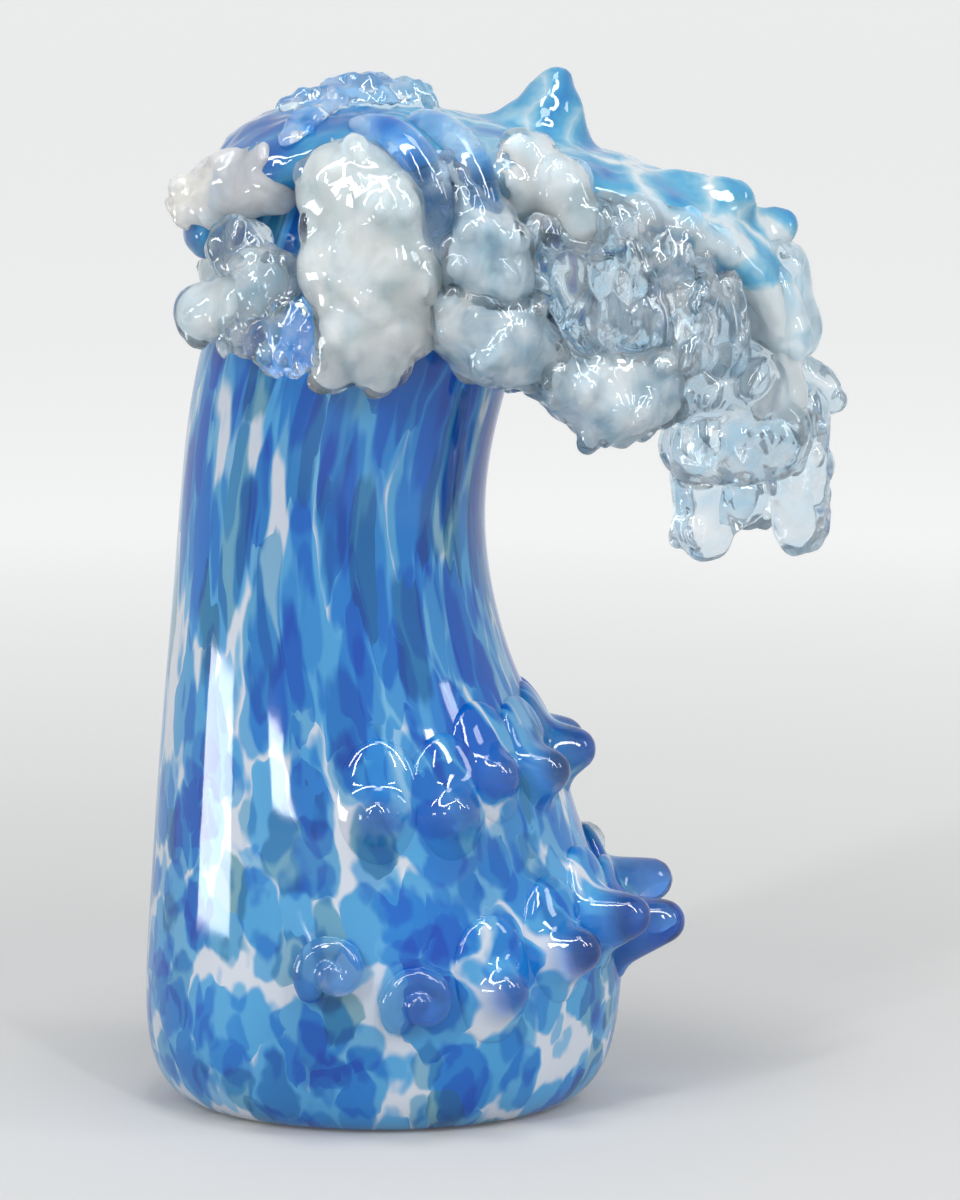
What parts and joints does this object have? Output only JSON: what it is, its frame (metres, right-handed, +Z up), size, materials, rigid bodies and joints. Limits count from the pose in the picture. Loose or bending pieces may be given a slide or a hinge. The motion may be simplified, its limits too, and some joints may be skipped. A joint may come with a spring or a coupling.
{
  "type": "glass wave sculpture",
  "caption": "Free-standing blown glass ornament shaped as a breaking wave: cased mottled body, crest that curls over, foam bits round its lip and pulled splash points.",
  "frame": {"origin": "middle of the flat foot of the body", "axes": "+Z up, +X the way the crest breaks, +Y away from the pictured side"},
  "size_m": [0.1671, 0.1146, 0.249],
  "materials": {
    "opal_white": "opaque white opal glass",
    "blue_frit": "melted blue colour chips",
    "cased_blue": "glossy clear casing over mottled blue chips and white",
    "crest_blue": "glossy pale blue glass with soft white veins",
    "ribbon_blue": "glossy clear blue glass",
    "splash_blue": "glossy transparent cobalt blue glass",
    "clear_glass": "glossy clear glass",
    "pale_foam": "glossy bubbly pale blue glass",
    "milky_foam": "glossy milky white glass"
  },
  "bodies": {
    "root": {"back_brow_foam_beads": "clear_glass", "back_brow_foam_ropes": "clear_glass", "back_front_foam_mass": "milky_foam", "back_lip_foam_lobe": "pale_foam", "back_lip_foam_loops": "clear_glass", "back_middle_foam_mass": "pale_foam", "back_middle_foam_upper": "pale_foam", "back_tail_foam_beads": "clear_glass", "back_tail_foam_lower": "milky_foam", "back_tail_foam_upper": "milky_foam", "blue_frit_layer": "blue_frit", "brow_foam_beads": "clear_glass", "brow_foam_lobe": "milky_foam", "brow_foam_ropes": "clear_glass", "brow_ribbon": "ribbon_blue", "clear_casing": "cased_blue", "crest_curl": "crest_blue", "crest_peak_front": "crest_blue", "crest_peak_middle": "crest_blue", "crest_peak_tall": "crest_blue", "crown_foam": "clear_glass", "crown_ribbon": "ribbon_blue", "curtain_back": "clear_glass", "curtain_back_leg": "clear_glass", "curtain_ball": "clear_glass", "curtain_front": "clear_glass", "curtain_front_leg": "clear_glass", "curtain_nose": "clear_glass", "curtain_nose_side": "clear_glass", "curtain_tip_leg": "clear_glass", "front_foam_mass": "milky_foam", "lip_foam_lobe": "pale_foam", "lip_foam_loops": "clear_glass", "lower_splash_1": "splash_blue", "lower_splash_2": "splash_blue", "lower_splash_3": "splash_blue", "lower_splash_4": "splash_blue", "lower_splash_5": "splash_blue", "lower_splash_6": "splash_blue", "lower_splash_7": "splash_blue", "lower_splash_8": "clear_glass", "middle_foam_mass": "pale_foam", "middle_foam_upper": "pale_foam", "opal_core": "opal_white", "tail_foam_beads": "clear_glass", "tail_foam_lower": "milky_foam", "tail_foam_upper": "milky_foam", "upper_splash_1": "splash_blue", "upper_splash_2": "splash_blue", "upper_splash_3": "splash_blue", "upper_splash_4": "splash_blue", "upper_splash_5": "splash_blue", "upper_splash_6": "splash_blue"}
  },
  "joints": []
}
